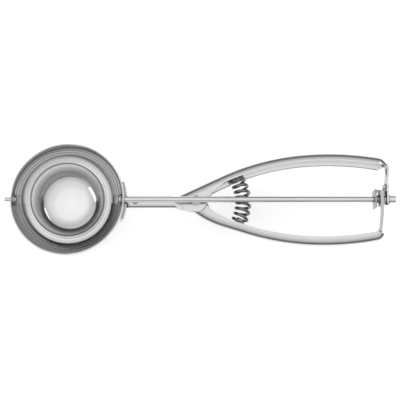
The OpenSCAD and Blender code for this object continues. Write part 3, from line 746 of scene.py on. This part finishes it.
def spring_coil():
    coils = [coil_frame(i / PER_TURN) for i in range(SPRING_TURNS * PER_TURN + 1)]
    coils = straight_end(coils[0], (-1.0, -0.5)) + coils + straight_end(coils[-1], (0.5, 1.0))
    shares = [END_SHARE] + [1.0] * (len(coils) - 2) + [END_SHARE]
    turns = [2 * math.pi * k / WIRE_SIDES for k in range(WIRE_SIDES)]
    verts = []
    for (point, _, side, outward), share in zip(coils, shares):
        for b in turns:
            p = point + (outward * math.cos(b) + side * math.sin(b)) * (SPRING_WIRE / 2 * share)
            verts.append(from_pivot(*p))
    faces = grid_faces(len(coils), WIRE_SIDES, True)
    faces.append(tuple(range(WIRE_SIDES)))
    faces.append(tuple(reversed(range(len(verts) - WIRE_SIDES, len(verts)))))
    spring = add("spring_coil", verts, faces, "return_spring", None, 40.0)
    point, _, _, outward = coils[len(coils) // 2]
    sample = from_pivot(*(point + outward * SPRING_WIRE / 2))
    face_out(spring, sample, from_pivot(*(point + outward)) - from_pivot(*point))
    at_angle(SPRING_TOP)
    at_angle(SPRING_BOTTOM)
    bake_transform(spring)


peg("fixed_peg", "fixed_handle", "frame", SPRING_TOP, FIXED_PEG)
peg("lever_peg", "lever_handle", "lever", -SPRING_BOTTOM, LEVER_PEG, True)
spring_coil()

# ---------------------------------------------------------------- stage
FLOOR_HALF, FLOOR_DROP, FLOOR_LIFT = 280.0, 0.4, 0.4
WORLD_STRENGTH = 1.1
# Greys of the sky by height, from straight down (0) over the horizon (0.5) to straight up (1).
SKY = [
    (0.0, 0.3), (0.49, 0.12), (0.58, 0.12), (0.68, 0.25), (0.75, 0.6), (0.85, 0.78), (0.94, 0.95), (1.0, 1.0),
]


def floor_material():
    """White paint that camera and shiny rays see a little lighter than its light makes it."""
    material = bpy.data.materials.new("floor")
    tree = cleared(material)
    cloud = add_node(tree, "TexNoise", {"Scale": 3.0}).outputs["Fac"]
    tint = add_ramp(tree, cloud, [(0.0, grey(0.93)), (1.0, grey(0.96))])
    paint = add_node(tree, "BsdfPrincipled", {"Roughness": 0.9, "Base Color": tint})
    path = add_node(tree, "LightPath", {})
    seen = math_node(tree, "MAXIMUM", path.outputs["Is Camera Ray"], shiny_ray(tree, path))
    glow = add_node(tree, "Emission", {"Strength": math_node(tree, "MULTIPLY", seen, FLOOR_LIFT)})
    both = add_node(tree, "AddShader", {0: paint.outputs["BSDF"], 1: glow.outputs["Emission"]})
    add_node(tree, "OutputMaterial", {"Surface": both.outputs["Shader"]})
    return material


def lay_floor():
    half = FLOOR_HALF * MM
    corners = [(-half, -half, 0), (half, -half, 0), (half, half, 0), (-half, half, 0)]
    mesh = bpy.data.meshes.new("floor")
    mesh.from_pydata(corners, [], [(0, 1, 2, 3)])
    mesh.materials.append(floor_material())
    floor = bpy.data.objects.new("floor", mesh)
    floor.location = (0, 0, -FLOOR_DROP * MM)
    bpy.context.scene.collection.objects.link(floor)


def light_world():
    """A tent of light; the camera sees white, and metal sees white below the horizon."""
    world = bpy.data.worlds.new("studio")
    bpy.context.scene.world = world
    tree = cleared(world)
    view = add_node(tree, "TexCoord", {}).outputs["Generated"]
    height = add_node(tree, "SeparateXYZ", {"Vector": view}).outputs["Z"]
    sky = add_ramp(tree, map_range(tree, height, -1, 1), [(z, grey(tone)) for z, tone in SKY], "EASE")
    tent = add_node(tree, "Background", {"Color": sky, "Strength": WORLD_STRENGTH})
    white = add_node(tree, "Background", {"Color": (1, 1, 1, 1)})
    path = add_node(tree, "LightPath", {})
    below = math_node(tree, "LESS_THAN", height, 0.0)
    ground = math_node(tree, "MULTIPLY", shiny_ray(tree, path), below)
    seen = math_node(tree, "MAXIMUM", path.outputs["Is Camera Ray"], ground)
    inputs = {"Fac": seen, 1: tent.outputs["Background"], 2: white.outputs["Background"]}
    add_node(tree, "OutputWorld", {"Surface": add_node(tree, "MixShader", inputs).outputs["Shader"]})


def strip_lamp(name, place):
    """A long, narrow lamp for a streak in the bowl, in metres and watts."""
    data = bpy.data.lights.new(name, "AREA")
    data.shape = "RECTANGLE"
    data.size = 0.4
    data.size_y = 0.07
    data.energy = 0.12
    light = bpy.data.objects.new(name, data)
    light.location = place
    aim = Vector((-0.07, 0, 0.02)) - Vector(place)
    light.rotation_euler = aim.to_track_quat("-Z", "Y").to_euler()
    bpy.context.scene.collection.objects.link(light)


lay_floor()
light_world()
strip_lamp("strip_left", (-0.6, -0.22, 0.46))
strip_lamp("strip_right", (0.42, 0.3, 0.36))

# ---------------------------------------------------------------- camera
FOCAL_PIXELS, PHOTO_PIXELS, SENSOR = 793.0, 400.0, 36.0


def place_camera():
    data = bpy.data.cameras.new("camera")
    data.sensor_width = SENSOR
    data.lens = FOCAL_PIXELS / PHOTO_PIXELS * SENSOR
    camera = bpy.data.objects.new("camera", data)
    target = here(LOOK_X, 0, 0) - UP * LOOK_DROP * MM
    turn = Matrix((UP.cross(BACK), UP, BACK)).transposed().to_4x4()
    camera.matrix_world = Matrix.Translation(target + BACK * DISTANCE * MM) @ turn
    bpy.context.scene.collection.objects.link(camera)
    bpy.context.scene.camera = camera


place_camera()
bpy.context.scene.view_settings.view_transform = "Standard"
